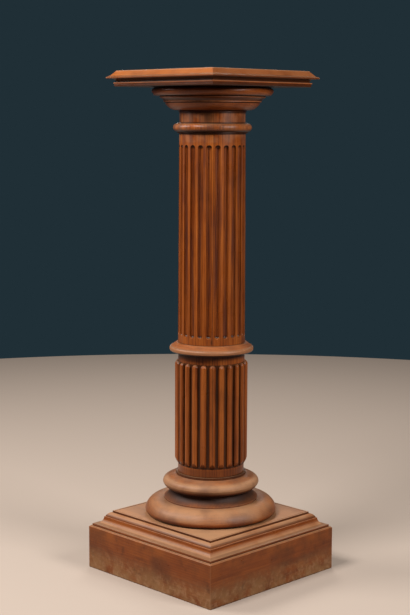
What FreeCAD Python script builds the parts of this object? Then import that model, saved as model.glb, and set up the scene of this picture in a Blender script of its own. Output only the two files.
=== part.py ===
"""Pedestal column stand in walnut: a reeded and fluted column between a square plinth and a square top.

Frame: +Z up, origin on the floor under the middle of the plinth, millimetres.
The plinth's and the top's sides run along X and Y, and -Y is called the front.
Every piece of wood, every loose tenon and every group of screws is written as its own sub-part.
"""
import FreeCAD, Part
import math
import os
from FreeCAD import Vector

# ---------------------------------------------------------------- driving sizes
# Plinth: a hollow box of four mitred boards, standing on their lower edges
plinth_side = 385.0
board_height = 96.0
board_thickness = 22.0
board_arris = 2.2          # rounded upper edge of each board
corner_block_size = 40.0   # glue blocks inside the four corners
corner_block_chamfer = 12.0
corner_block_lift = 8.0    # the blocks stay this far above the floor

# Mitred mouldings laid on the boards, with a rebate that holds the panel
moulding_setback = 5.5     # ledge of the boards left bare outside the mouldings
moulding_height = 34.0
moulding_foot_rise = 4.6   # upright fillet at the foot
moulding_foot_step = 1.5
moulding_cove_run = 17.0
moulding_cove_rise = 15.0
moulding_step = 1.9        # fillet between the cove and the quarter round
moulding_round_run = 10.2
moulding_round_rise = 9.8
moulding_quirk = 1.6       # sunk groove behind the quarter round
moulding_quirk_depth = 1.2
moulding_rim = 4.0         # flat rim beside the panel
moulding_rim_arris = 0.8
rebate_width = 12.0
panel_thickness = 22.0
panel_arris = 1.3          # with the rim's arris, a groove all round the panel

# Base: two cushion-shaped rings with a hollow (scotia) between them
lower_torus_height = 35.0
lower_torus_radius = 145.5
lower_torus_nose_rise = 11.5   # height of the widest line above the panel
lower_torus_top_radius = 118.0
scotia_height = 22.0
scotia_radius = 103.8
scotia_fillet = 2.6
scotia_waist_radius = 88.0
upper_torus_height = 33.0
upper_torus_radius = 106.3
upper_torus_nose_rise = 14.5
upper_torus_shoulder_inset = 10.0
upper_torus_shoulder_rise = 12.0
foot_ring_height = 5.0     # small ring round the column's foot
foot_ring_radius = 77.2

# Lower drum: reeded, glued up from four quarters
drum_length = 269.5
drum_radius = 73.0
reed_radius = 7.0
reed_margin_bottom = 18.5
reed_margin_top = 21.5
reed_foot_rise = 5.0       # plan of a reed's foot: blunter than a half circle
reed_foot_slope = 15.5     # length over which the foot rises to full height
reed_head_slope = 12.0
reed_head_step = 4.0       # height at which the head begins
reed_blank_allowance = 0.6 # the turned blank stands this far over the crowns

# Ring between the two drums
ring_height = 20.5
ring_radius = 91.8
ring_under_round = 4.5
ring_nose_height = 11.0    # top of the nose above the ring's underside
ring_nose_lean = 1.6       # the nose's upper part draws in by this much
ring_nose_step = 0.9       # narrow fillet between the nose and the slope over it
ring_collar_radius = 78.0
ring_collar_height = 1.5   # gentle slope from the collar in to the shaft

# Upper drum: fluted, glued up from four quarters, with astragal and necking turned on it
shaft_length = 497.0
shaft_foot_radius = 73.4
shaft_head_radius = 71.5
flute_radius = 6.3
flute_margin_bottom = 15.0
necking_height = 21.5
necking_radius = 70.7
astragal_height = 18.0
astragal_radius = 84.6
astragal_fillet = 1.5
astragal_under_fillet = 3.0
plain_band_height = 24.5   # between the flutes and the astragal

flute_count = 24           # flutes and reeds stand one above the other
quarter_count = 4
shaft_turn = 2.0           # degrees: the column stands a little off the plinth's diagonal

# Capital: echinus, two thin beads and a top roll, turned from one block
capital_height = 54.0
capital_foot_rise = 4.6
capital_foot_radius = 72.8
echinus_foot_radius = 78.0
echinus_radius = 102.2
echinus_rise = 15.6
bead_height = 2.6
capital_groove = 1.3       # sunk lines beside the two beads
lower_bead_radius = 105.2
capital_cove_rise = 7.2
upper_bead_radius = 113.6
roll_foot_radius = 117.0
roll_radius = 130.6
roll_nose_rise = 9.4
roll_head_radius = 125.0
roll_head_drop = 2.2       # flat neck left over the roll

# Top: a moulded board on a thinner under-board
top_side = 323.6
top_thickness = 25.0
top_bevel_run = 8.2        # steep upper bevel
top_bevel_drop = 9.0
top_ledge_run = 6.8        # flatter slope outside the bevel
top_ledge_drop = 3.6
top_arris = 1.4
top_nose_height = 3.0
top_cove_run = 15.0
top_cove_rise = 5.8
under_board_side = 301.0
under_board_thickness = 9.0
under_board_fillet = 2.6
under_board_groove = 1.2
under_board_round = 2.4

# Loose tenons and screws
tenon_radius = 20.0
tenon_depth = 60.0         # how far a tenon reaches into a drum
capital_tenon_depth = 34.0
tenon_end_play = 2.0
tenon_chamfer = 2.0
screw_length = 50.0
screw_shank_radius = 2.5
screw_head_radius = 5.0
screw_head_height = 3.0
screw_tip_length = 6.0
screw_slot_width = 1.2
screw_slot_depth = 1.3
screw_count = 4
base_screw_circle = 80.0   # radius of the circle of screws under the panel
top_screw_circle = 45.0
top_screw_well_depth = 30.0
top_screw_well_radius = 6.5

# ---------------------------------------------------------------- clearances
tenon_fit = 0.15           # glue line round a tenon
screw_fit = 0.12

# ---------------------------------------------------------------- round stretches, as rise over chord
HALF_ROUND = 0.5
QUARTER_ROUND = math.tan(math.pi / 8) / 2
CUSHION = 0.17
SHALLOW = 0.13

# ---------------------------------------------------------------- levels, stacked from the floor
mouldings_z = board_height
panel_top_z = mouldings_z + moulding_height
scotia_z = panel_top_z + lower_torus_height
upper_torus_z = scotia_z + scotia_height
drum_z = upper_torus_z + upper_torus_height + foot_ring_height
ring_z = drum_z + drum_length
shaft_z = ring_z + ring_height
capital_z = shaft_z + shaft_length
under_board_z = capital_z + capital_height
top_board_z = under_board_z + under_board_thickness
top_z = top_board_z + top_thickness

pitch_angle = 360.0 / flute_count
quarter_angle = 360.0 / quarter_count
bore_radius = tenon_radius + tenon_fit
corner_direction = -45.0   # degrees: the corner between the front and the right-hand side
first_seam = corner_direction + shaft_turn

UP = Vector(0, 0, 1)
ORIGIN = Vector(0, 0, 0)


# ---------------------------------------------------------------- drawing tools
class Outline:
    """A closed cross-section drawn point to point, in two coordinates: across and up."""

    def __init__(self, across, up):
        self.points = [(across, up)]
        self.edges = []

    def line(self, across, up):
        self.edges.append((self.points[-1], (across, up), 0.0))
        self.points.append((across, up))
        return self

    def step(self, across, up):
        last = self.points[-1]
        return self.line(last[0] + across, last[1] + up)

    def curve(self, across, up, bulge):
        """An arc whose rise is bulge times its chord, on the right hand of the way drawn."""
        self.edges.append((self.points[-1], (across, up), bulge))
        self.points.append((across, up))
        return self

    def curve_step(self, across, up, bulge):
        last = self.points[-1]
        return self.curve(last[0] + across, last[1] + up, bulge)

    def face(self, place):
        """The closed face, with place(across, up) giving each point in space."""
        first, last = self.points[0], self.points[-1]
        edges = []
        for start, end, bulge in self.edges + [(last, first, 0.0)]:
            if math.dist(start, end) < 1e-6:
                continue
            a, b = place(*start), place(*end)
            if bulge:
                across = (start[0] + end[0]) / 2 + bulge * (end[1] - start[1])
                up = (start[1] + end[1]) / 2 - bulge * (end[0] - start[0])
                edges.append(Part.Arc(a, place(across, up), b).toShape())
            else:
                edges.append(Part.LineSegment(a, b).toShape())
        return Part.Face(Part.Wire(edges))


def turned(outline, start=0.0, sweep=360.0):
    """A solid of revolution round Z, from an outline of radius and height."""
    section = outline.face(lambda radius, height: Vector(radius, 0, height))
    section.rotate(ORIGIN, UP, start)
    return section.revolve(ORIGIN, UP, sweep)


def side_angles():
    """The four sides in order, each with the turn that brings the front piece there."""
    return (("front", 0.0), ("right", 90.0), ("back", 180.0), ("left", 270.0))


def mitred_strip(outline, side):
    """A straight strip along the front, cut at both ends on the square's diagonals.

    The outline runs inwards from the plinth's front face and up from the floor.
    """
    half = side / 2
    section = outline.face(lambda inset, height: Vector(-half, inset - half, height))
    strip = section.extrude(Vector(side, 0, 0))
    low, high = strip.BoundBox.ZMin, strip.BoundBox.ZMax
    corners = [Vector(0, 0, low), Vector(-half, -half, low), Vector(half, -half, low)]
    sector = Part.Face(Part.makePolygon(corners + corners[:1])).extrude(UP * (high - low))
    return strip.common(sector)


def moulded_board(outline):
    """A square board with the same moulding on its four edges.

    The outline holds half of the cross-section, from the middle outwards and up.
    """
    runs = []
    for turn in (0.0, 90.0):
        half = outline.face(lambda across, height: Vector(0, across, height))
        other = half.mirror(ORIGIN, Vector(0, 1, 0))
        reach = max(point[0] for point in outline.points)
        halves = [face.extrude(Vector(2 * reach, 0, 0)) for face in (half, other)]
        run = halves[0].fuse(halves[1]).removeSplitter()
        run.translate(Vector(-reach, 0, 0))
        run.rotate(ORIGIN, UP, turn)
        runs.append(run)
    return runs[0].common(runs[1]).removeSplitter()


def copies_round(shape, count, first_angle, step_angle):
    """Copies of a shape turned round Z at even steps."""
    copies = []
    for index in range(count):
        copy = shape.copy()
        copy.rotate(ORIGIN, UP, first_angle + index * step_angle)
        copies.append(copy)
    return copies


def save(name, shape):
    shape.exportStep("parts/" + name + ".step")


# ---------------------------------------------------------------- plinth
def plinth_board():
    outline = Outline(board_thickness, 0)
    outline.line(board_thickness, board_height)
    outline.line(board_arris, board_height)
    outline.curve(0, board_height - board_arris, -QUARTER_ROUND)
    outline.line(0, 0)
    return mitred_strip(outline, plinth_side)


def plinth_moulding():
    """Cove, fillet, quarter round and quirk, with the panel's rebate behind."""
    inner = moulding_setback + moulding_profile_run()
    outline = Outline(moulding_setback, mouldings_z)
    outline.step(0, moulding_foot_rise)
    outline.step(moulding_foot_step, 0)
    outline.curve_step(moulding_cove_run, moulding_cove_rise, QUARTER_ROUND)
    outline.step(0, moulding_step / 2)
    outline.step(moulding_step, 0)
    outline.curve_step(moulding_round_run, moulding_round_rise, -SHALLOW)
    outline.step(0, -moulding_quirk_depth)
    outline.step(moulding_quirk, 0)
    outline.line(inner - moulding_rim, panel_top_z)
    outline.line(inner - moulding_rim_arris, panel_top_z)
    outline.line(inner, panel_top_z - moulding_rim_arris)
    outline.line(inner, panel_top_z - panel_thickness)
    outline.line(inner + rebate_width, panel_top_z - panel_thickness)
    outline.line(inner + rebate_width, mouldings_z)
    return mitred_strip(outline, plinth_side)


def moulding_profile_run():
    """From the moulding's foot inwards to the panel's edge."""
    curves = moulding_cove_run + moulding_round_run
    steps = moulding_foot_step + moulding_step
    return curves + steps + moulding_quirk + moulding_rim


def corner_block():
    """A glue block in the front right-hand corner, from above the floor to the mouldings."""
    inner = plinth_side / 2 - board_thickness
    far = inner - corner_block_size
    cut = far + corner_block_chamfer
    corners = [
        Vector(inner, -inner, corner_block_lift),
        Vector(inner, -far, corner_block_lift),
        Vector(cut, -far, corner_block_lift),
        Vector(far, -cut, corner_block_lift),
        Vector(far, -inner, corner_block_lift),
    ]
    section = Part.Face(Part.makePolygon(corners + corners[:1]))
    return section.extrude(UP * (board_height - corner_block_lift))


def panel():
    reach = plinth_side / 2 - moulding_setback - moulding_profile_run()
    bottom = panel_top_z - panel_thickness
    outline = Outline(0, bottom)
    outline.line(reach, bottom)
    outline.line(reach, panel_top_z - panel_arris)
    outline.line(reach - panel_arris, panel_top_z)
    outline.line(0, panel_top_z)
    return moulded_board(outline).cut(bore(bottom, panel_top_z)).cut(base_screws(screw_fit))


# ---------------------------------------------------------------- turned base
def bore(low, high):
    return Part.makeCylinder(bore_radius, high - low, Vector(0, 0, low))


def lower_torus():
    foot = lower_torus_radius - lower_torus_nose_rise
    outline = Outline(bore_radius, panel_top_z)
    outline.line(foot, panel_top_z)
    outline.curve(lower_torus_radius, panel_top_z + lower_torus_nose_rise, QUARTER_ROUND)
    outline.curve(lower_torus_top_radius, scotia_z, CUSHION)
    outline.line(bore_radius, scotia_z)
    return turned(outline).cut(base_screws(screw_fit))


def scotia():
    outline = Outline(bore_radius, scotia_z)
    outline.line(scotia_radius, scotia_z)
    outline.line(scotia_radius, scotia_z + scotia_fillet)
    outline.curve(scotia_waist_radius, upper_torus_z, -SHALLOW)
    outline.line(bore_radius, upper_torus_z)
    return turned(outline)


def upper_torus():
    nose_z = upper_torus_z + upper_torus_nose_rise
    shoulder_radius = upper_torus_radius - upper_torus_shoulder_inset
    ring_foot_z = drum_z - foot_ring_height
    outline = Outline(bore_radius, upper_torus_z)
    outline.line(scotia_waist_radius, upper_torus_z)
    outline.curve(upper_torus_radius, nose_z, CUSHION)
    outline.curve(shoulder_radius, nose_z + upper_torus_shoulder_rise, CUSHION)
    outline.curve(foot_ring_radius, ring_foot_z, SHALLOW / 2)
    outline.line(foot_ring_radius, drum_z)
    outline.line(bore_radius, drum_z)
    return turned(outline)


# ---------------------------------------------------------------- column
def seam(index):
    return first_seam + index * quarter_angle


def bored_core(outline, low, high):
    """Closes an outline down the axis, with a tenon bore in each end."""
    outline.line(bore_radius, high)
    outline.line(bore_radius, high - tenon_depth)
    outline.line(0, high - tenon_depth)
    outline.line(0, low + tenon_depth)
    outline.line(bore_radius, low + tenon_depth)
    return outline.line(bore_radius, low)


def reed():
    """One reed as a full round rod, with a blunt foot and a ball-ended head."""
    length = drum_length - reed_margin_bottom - reed_margin_top
    outline = Outline(0, 0)
    outline.curve(reed_radius, reed_foot_rise, CUSHION)
    outline.line(reed_radius, length - reed_radius)
    outline.curve(0, length, QUARTER_ROUND)
    rod = turned(outline)
    rod.translate(Vector(drum_radius, 0, drum_z + reed_margin_bottom))
    return rod


def reed_end_waste():
    """Rings that the lathe takes off the reeds' ends, so that they slope down to the drum."""
    foot, head = drum_z + reed_margin_bottom, ring_z - reed_margin_top
    blank = drum_radius + reed_radius + reed_blank_allowance
    outer = blank + reed_radius
    at_foot = Outline(drum_radius, foot - reed_radius)
    at_foot.line(drum_radius, foot)
    at_foot.curve(blank, foot + reed_foot_slope, SHALLOW / 2)
    at_foot.line(outer, foot + reed_foot_slope)
    at_foot.line(outer, foot - reed_radius)
    at_head = Outline(blank, head - reed_head_slope)
    at_head.curve(drum_radius + reed_head_step, head, SHALLOW / 2)
    at_head.line(drum_radius + reed_head_step, head + reed_radius)
    at_head.line(outer, head + reed_radius)
    at_head.line(outer, head - reed_head_slope)
    groove = first_seam + pitch_angle / 2
    return [turned(outline, groove) for outline in (at_foot, at_head)]


def reeded_quarter(index):
    """A quarter of the lower drum; the seams run down the middle of a reed."""
    outline = Outline(drum_radius, drum_z).line(drum_radius, ring_z)
    plain = turned(bored_core(outline, drum_z, ring_z), seam(index), quarter_angle)
    spans = flute_count // quarter_count
    reeds = copies_round(reed().cut(reed_end_waste()), spans + 1, seam(index), pitch_angle)
    inside, outside = drum_radius / 2, drum_radius + 2 * reed_radius
    outline = Outline(inside, drum_z).line(outside, drum_z).line(outside, ring_z).line(inside, ring_z)
    sector = turned(outline, seam(index), quarter_angle)
    return plain.multiFuse([rod.common(sector) for rod in reeds]).removeSplitter()


def middle_ring():
    """A nose that rounds under, a narrow fillet, then a slope up to a collar round the shaft."""
    nose_z = ring_z + ring_nose_height
    outline = Outline(bore_radius, ring_z)
    outline.line(ring_radius - ring_under_round, ring_z)
    outline.curve(ring_radius, ring_z + ring_under_round, QUARTER_ROUND)
    outline.curve(ring_radius - ring_nose_lean, nose_z, SHALLOW)
    outline.step(-ring_nose_step, 0)
    outline.line(ring_collar_radius, shaft_z - ring_collar_height)
    outline.line(shaft_foot_radius, shaft_z)
    outline.line(bore_radius, shaft_z)
    return turned(outline)


def flute_levels():
    """Where the flutes begin and end on the upper drum."""
    top = capital_z - necking_height - astragal_height - astragal_fillet
    return shaft_z + flute_margin_bottom, top - astragal_under_fillet - plain_band_height


def shaft_slope():
    """How far the shaft's face draws in for each millimetre upwards."""
    low, high = shaft_z, flute_levels()[1] + plain_band_height
    return (shaft_foot_radius - shaft_head_radius) / (high - low)


def flute_cutter():
    """A ball-ended rod lying in the shaft's tapered face."""
    low, high = flute_levels()
    length = high - low
    outline = Outline(0, 0)
    outline.curve(flute_radius, flute_radius, QUARTER_ROUND)
    outline.line(flute_radius, length - flute_radius)
    outline.curve(0, length, QUARTER_ROUND)
    rod = turned(outline)
    rod.rotate(ORIGIN, Vector(0, 1, 0), -math.degrees(math.atan(shaft_slope())))
    rod.translate(Vector(shaft_foot_radius - shaft_slope() * (low - shaft_z), 0, low))
    return rod


def fluted_quarter(index):
    """A quarter of the upper drum; the seams run down the flats between flutes."""
    band_top = flute_levels()[1] + plain_band_height
    astragal_low = band_top + astragal_under_fillet
    astragal_high = astragal_low + astragal_height
    seat = astragal_radius - astragal_height / 2
    outline = Outline(shaft_foot_radius, shaft_z)
    outline.line(shaft_head_radius, band_top)
    outline.line(seat, band_top)
    outline.line(seat, astragal_low)
    outline.curve(seat, astragal_high, HALF_ROUND)
    outline.line(seat, astragal_high + astragal_fillet)
    outline.line(necking_radius, astragal_high + astragal_fillet)
    outline.line(necking_radius, capital_z)
    blank = turned(bored_core(outline, shaft_z, capital_z), seam(index), quarter_angle)
    spans = flute_count // quarter_count
    flutes = copies_round(flute_cutter(), spans, seam(index) + pitch_angle / 2, pitch_angle)
    return blank.cut(flutes)


# ---------------------------------------------------------------- capital and top
def capital():
    outline = Outline(bore_radius, capital_z)
    outline.line(capital_foot_radius, capital_z)
    outline.line(capital_foot_radius, capital_z + capital_foot_rise)
    outline.line(echinus_foot_radius, capital_z + capital_foot_rise)
    outline.curve(echinus_radius, capital_z + capital_foot_rise + echinus_rise, SHALLOW)
    outline.step(-capital_groove, 0)
    outline.step(0, capital_groove)
    outline.line(lower_bead_radius, outline.points[-1][1])
    outline.step(0, bead_height)
    outline.curve(upper_bead_radius, outline.points[-1][1] + capital_cove_rise, -SHALLOW)
    outline.step(0, bead_height)
    outline.step(-capital_groove, 0)
    outline.step(0, capital_groove)
    outline.line(roll_foot_radius, outline.points[-1][1])
    outline.curve(roll_radius, outline.points[-1][1] + roll_nose_rise, QUARTER_ROUND)
    outline.curve(roll_head_radius, under_board_z - roll_head_drop, QUARTER_ROUND)
    outline.line(roll_head_radius, under_board_z)
    outline.line(0, under_board_z)
    outline.line(0, capital_z + capital_tenon_depth)
    outline.line(bore_radius, capital_z + capital_tenon_depth)
    wells = screw_wells()
    return turned(outline).cut(wells).cut(top_screws(screw_fit))


def screw_wells():
    """Deep holes from under the capital that take the heads of the top's screws."""
    foot = Vector(top_screw_circle, 0, capital_z)
    well = Part.makeCylinder(top_screw_well_radius, top_screw_well_depth, foot)
    return copies_round(well, screw_count, first_seam + pitch_angle, 360.0 / screw_count)


def under_board():
    reach = under_board_side / 2
    outline = Outline(0, under_board_z)
    outline.line(reach - under_board_groove - under_board_round, under_board_z)
    outline.curve_step(under_board_round, under_board_round, QUARTER_ROUND)
    outline.line(reach - under_board_groove, top_board_z - under_board_fillet)
    outline.line(reach, top_board_z - under_board_fillet)
    outline.line(reach, top_board_z)
    outline.line(0, top_board_z)
    return moulded_board(outline).cut(top_screws(screw_fit))


def top_board():
    """Rounded arris, steep bevel, flatter slope to a thin nose, and a cove under it."""
    reach = top_side / 2
    nose_top = top_z - top_arris - top_bevel_drop - top_ledge_drop
    outline = Outline(0, top_board_z)
    outline.line(reach - top_cove_run, top_board_z)
    outline.line(reach - top_cove_run, nose_top - top_nose_height - top_cove_rise)
    outline.curve(reach - top_nose_height / 2, nose_top - top_nose_height, -QUARTER_ROUND)
    outline.curve(reach, nose_top - top_nose_height / 2, QUARTER_ROUND)
    outline.line(reach, nose_top)
    outline.step(-top_ledge_run, top_ledge_drop)
    outline.step(-top_bevel_run, top_bevel_drop)
    outline.curve_step(-top_arris, top_arris, SHALLOW)
    outline.line(0, top_z)
    return moulded_board(outline).cut(top_screws(screw_fit))


# ---------------------------------------------------------------- loose tenons and screws
def tenon(low, high):
    """A turned dowel with chamfered ends, a little short of its holes."""
    foot, head = low + tenon_end_play / 2, high - tenon_end_play / 2
    outline = Outline(0, foot)
    outline.line(tenon_radius - tenon_chamfer, foot)
    outline.line(tenon_radius, foot + tenon_chamfer)
    outline.line(tenon_radius, head - tenon_chamfer)
    outline.line(tenon_radius - tenon_chamfer, head)
    outline.line(0, head)
    return turned(outline)


def screw(grow):
    """A countersunk wood screw with a slotted head, its head at z 0 and its point upwards."""
    shank = screw_shank_radius + grow
    outline = Outline(0, 0)
    outline.line(screw_head_radius + grow, 0)
    outline.line(shank, screw_head_height + grow)
    outline.line(shank, screw_length - screw_tip_length)
    outline.line(0, screw_length + grow)
    body = turned(outline)
    if grow:
        return body
    slot_length = 2 * screw_head_radius
    corner = Vector(-screw_head_radius, -screw_slot_width / 2, 0)
    return body.cut(Part.makeBox(slot_length, screw_slot_width, screw_slot_depth, corner))


def screw_ring(circle, head_z, grow, first_angle):
    one = screw(grow)
    one.translate(Vector(circle, 0, head_z))
    return copies_round(one, screw_count, first_angle, 360.0 / screw_count)


def base_screws(grow=0.0):
    """Screws up through the panel into the lower torus."""
    head_z = panel_top_z - panel_thickness
    return screw_ring(base_screw_circle, head_z, grow, corner_direction)


def top_screws(grow=0.0):
    """Screws up through the capital and the under-board into the top board."""
    head_z = capital_z + top_screw_well_depth
    return screw_ring(top_screw_circle, head_z, grow, first_seam + pitch_angle)


# ---------------------------------------------------------------- all the pieces
def build():
    for name, turn in side_angles():
        for kind, piece in (("board", plinth_board()), ("moulding", plinth_moulding())):
            piece.rotate(ORIGIN, UP, turn)
            save("plinth_" + kind + "_" + name, piece)
    corner_names = ("front_right", "back_right", "back_left", "front_left")
    for name, block in zip(corner_names, copies_round(corner_block(), len(corner_names), 0.0, 90.0)):
        save("plinth_corner_block_" + name, block)
    save("plinth_panel", panel())
    save("lower_torus", lower_torus())
    save("scotia", scotia())
    save("upper_torus", upper_torus())
    for index in range(quarter_count):
        save("reeded_drum_quarter_%d" % (index + 1), reeded_quarter(index))
        save("fluted_shaft_quarter_%d" % (index + 1), fluted_quarter(index))
    save("middle_ring", middle_ring())
    save("capital", capital())
    save("top_under_board", under_board())
    save("top_board", top_board())
    panel_bottom_z = panel_top_z - panel_thickness
    save("foot_tenon", tenon(panel_bottom_z, drum_z + tenon_depth))
    save("middle_tenon", tenon(ring_z - tenon_depth, shaft_z + tenon_depth))
    save("capital_tenon", tenon(capital_z - tenon_depth, capital_z + capital_tenon_depth))
    save("base_screws", Part.makeCompound(base_screws()))
    save("top_screws", Part.makeCompound(top_screws()))


os.makedirs("parts", exist_ok=True)
build()
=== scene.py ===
"""Dresses the pedestal column stand.

Stained walnut where the wood shows, bare beech and steel inside, and a floor, lamps and the camera.
"""
import math

import bmesh
import bpy
from bpy.props import FloatProperty, FloatVectorProperty, PointerProperty
from mathutils import Matrix, Vector


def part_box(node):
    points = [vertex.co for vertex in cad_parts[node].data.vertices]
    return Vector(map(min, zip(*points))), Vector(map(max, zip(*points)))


bl_info = {
    "name": "Pedestal Column Stand",
    "version": (1, 0, 0),
    "blender": (4, 5, 0),
    "location": "3D View > Sidebar > Pedestal",
    "description": "Gives the stand its worn walnut, its hidden joinery and a plain studio stage",
    "category": "Object",
}

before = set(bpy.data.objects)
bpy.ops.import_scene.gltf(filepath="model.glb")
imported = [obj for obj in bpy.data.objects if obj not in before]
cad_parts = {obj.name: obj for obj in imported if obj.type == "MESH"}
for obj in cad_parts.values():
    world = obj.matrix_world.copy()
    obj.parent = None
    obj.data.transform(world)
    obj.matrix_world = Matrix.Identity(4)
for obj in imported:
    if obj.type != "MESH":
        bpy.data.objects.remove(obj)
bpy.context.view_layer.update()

SIDES = ("front", "right", "back", "left")
CORNERS = ("front_right", "back_right", "back_left", "front_left")
QUARTERS = (1, 2, 3, 4)
MM = 0.001

# Places on the column, as the part's source has them
DRUM_RADIUS = 73.0 * MM             # between the reeds
REED_RADIUS = 7.0 * MM
SHAFT_RADIUS = 72.5 * MM            # half way up, on the flats between the flutes
SEAM_AZIMUTH = math.radians(47)     # of the seam that faces the camera
PLINTH_CORNERS = (math.radians(45), math.radians(225))  # azimuths of the near and the far one

# Specular level of thin old wax, matched to the photograph; the usual level is 0.5
SHEEN = 0.28

# Each soft lamp's turn from the camera's azimuth, distance and height; all are one size and aim half way up
LAMP_PLACES = {
    "key": (math.radians(-46), 1.75, 2.45),
    "left": (math.radians(-94), 2.2, 1.95),
    "right": (math.radians(52), 2.2, 1.85),
    "back": (math.radians(180), 2.2, 2.2),
}
LAMP_SIZE = 0.9
LAMP_AIM = Vector((0, 0, 0.55))
AMBIENT_TINT = (1.0, 0.98, 0.95)

# How far each kind of grain is turned, so that the pattern's own Z runs along the wood
GRAIN_TURNS = {
    "X": (0.0, math.radians(90), 0.0),
    "Y": (math.radians(90), 0.0, 0.0),
    "Z": (0.0, 0.0, 0.0),
}


def linear(hex_text):
    """An sRGB hex colour as linear red, green and blue."""
    channels = [int(hex_text[i:i + 2], 16) / 255 for i in (1, 3, 5)]
    return [c / 12.92 if c <= 0.04045 else ((c + 0.055) / 1.055) ** 2.4 for c in channels]


# ---------------------------------------------------------------- settings
class WalnutSettings(bpy.types.PropertyGroup):
    """Dark-stained walnut, turned or planed, waxed by hand and worn by use."""
    # Also painted light on the shaft's fillets, the reeds' crowns and the top board's rim
    light: FloatVectorProperty(
        name="Light wood", description="Between the growth rings, where the stain took least",
        subtype="COLOR", size=3, min=0, max=1, default=linear("#A65A22"))
    middle: FloatVectorProperty(
        name="Middle wood", description="The stained wood's usual colour",
        subtype="COLOR", size=3, min=0, max=1, default=linear("#803C12"))
    # Also painted shade in the flutes, below the reeds' feet, on the top board's nose and on the under-board
    dark: FloatVectorProperty(
        name="Dark wood", description="Dark figure and late wood",
        subtype="COLOR", size=3, min=0, max=1, default=linear("#4C220D"))
    # Also painted shade: this colour darkens grooves, creases, undersides and the wood under overhangs;
    # elsewhere it is real stain in pores, joints and patches
    stain: FloatVectorProperty(
        name="Old stain", description="Stain, wax and dirt left in grooves and corners",
        subtype="COLOR", size=3, min=0, max=1, default=linear("#1E0B03"))
    plum: FloatVectorProperty(
        name="Purple bloom", description="Purplish dark of old varnish on the turned base",
        subtype="COLOR", size=3, min=0, max=1, default=linear("#4A2A26"))
    # Also painted sheen and painted highlight on upward faces, rounded noses and fillets; elsewhere it is
    # worn or dusty wood
    worn: FloatVectorProperty(
        name="Worn wood", description="Dry, dusty wood where handling has taken the polish off",
        subtype="COLOR", size=3, min=0, max=1, default=linear("#B98C66"))
    grey: FloatVectorProperty(
        name="Scuffed wood", description="Greyed wood along the floor",
        subtype="COLOR", size=3, min=0, max=1, default=linear("#9C7048"))
    ring_width: FloatProperty(
        name="Ring width", description="Width of a growth ring",
        unit="LENGTH", default=5.0 * MM, min=0.5 * MM)
    fibre_width: FloatProperty(
        name="Fibre width", description="Width of the fine streaks; real fibres are too fine to show",
        unit="LENGTH", default=1.6 * MM, min=0.1 * MM)
    fibre_length: FloatProperty(
        name="Fibre length", description="Length of the fine streaks",
        unit="LENGTH", default=60.0 * MM, min=1.0 * MM)
    pore_width: FloatProperty(
        name="Pore width", description="Width of the open pores, over the real 0.2 mm so that they show",
        unit="LENGTH", default=0.5 * MM, min=0.1 * MM)
    pore_length: FloatProperty(
        name="Pore length", description="Length of the open pores",
        unit="LENGTH", default=9.0 * MM, min=1.0 * MM)
    roughness: FloatProperty(
        name="Roughness", description="Waxed walnut's roughness",
        subtype="FACTOR", default=0.32, min=0, max=1)


class HiddenSettings(bpy.types.PropertyGroup):
    """The unstained wood and the steel inside the stand."""
    plain_light: FloatVectorProperty(
        name="Plain wood", description="Unstained beech of the glue blocks and tenons",
        subtype="COLOR", size=3, min=0, max=1, default=linear("#C9A57A"))
    plain_dark: FloatVectorProperty(
        name="Plain wood, late rings", description="Darker rings of the unstained beech",
        subtype="COLOR", size=3, min=0, max=1, default=linear("#A07B52"))
    steel: FloatVectorProperty(
        name="Screw steel", description="Dull bright steel of the screws",
        subtype="COLOR", size=3, min=0, max=1, default=linear("#A9A6A0"))
    steel_roughness: FloatProperty(
        name="Steel roughness", description="Roughness of the screws",
        subtype="FACTOR", default=0.38, min=0, max=1)


class StageSettings(bpy.types.PropertyGroup):
    """Floor, background, lamps and camera."""
    floor: FloatVectorProperty(
        name="Floor", description="Plain pale floor",
        subtype="COLOR", size=3, min=0, max=1, default=linear("#BEAC9D"))
    wall: FloatVectorProperty(
        name="Background", description="Dark wall colour that the camera sees beyond the floor",
        subtype="COLOR", size=3, min=0, max=1, default=linear("#202F36"))
    bounce: FloatProperty(
        name="Floor bounce", description="Share of the floor's colour that it throws back up at the stand",
        subtype="FACTOR", default=0.3, min=0, max=1)
    floor_radius: FloatProperty(
        name="Floor radius", description="From the stand to the floor's far edge",
        unit="LENGTH", default=2.82, min=1.0)
    ambient: FloatProperty(
        name="Ambient light", description="Strength of the even light from all round",
        default=0.04, min=0)
    key: FloatProperty(
        name="Key light", description="Power of the soft lamp high on the camera's left",
        unit="POWER", default=60.0, min=0)
    left: FloatProperty(
        name="Left light", description="Power of the soft lamp straight to the left",
        unit="POWER", default=38.0, min=0)
    right: FloatProperty(
        name="Right light", description="Power of the soft lamp on the camera's right",
        unit="POWER", default=47.0, min=0)
    back: FloatProperty(
        name="Back light", description="Power of the soft lamp behind the stand",
        unit="POWER", default=20.0, min=0)
    lens: FloatProperty(
        name="Lens", description="Focal length over the frame's 36 mm height",
        unit="CAMERA", default=79.41, min=1.0)
    distance: FloatProperty(
        name="Camera distance", description="From the column's axis, along the floor",
        unit="LENGTH", default=2.9433, min=0.1)
    height: FloatProperty(
        name="Camera height", description="Above the floor",
        unit="LENGTH", default=0.9936, min=0.0)
    azimuth: FloatProperty(
        name="Azimuth", description="Round the stand from its front towards its right-hand side",
        subtype="ANGLE", default=math.radians(45))
    heading: FloatProperty(
        name="Heading", description="How far the camera looks to the left of the column's axis",
        subtype="ANGLE", default=math.radians(0.282))
    tilt: FloatProperty(
        name="Tilt", description="How far the camera looks down",
        subtype="ANGLE", default=math.radians(7.822))
    roll: FloatProperty(
        name="Roll", description="The camera's turn about its own line of sight",
        subtype="ANGLE", default=math.radians(0.233))


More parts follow.
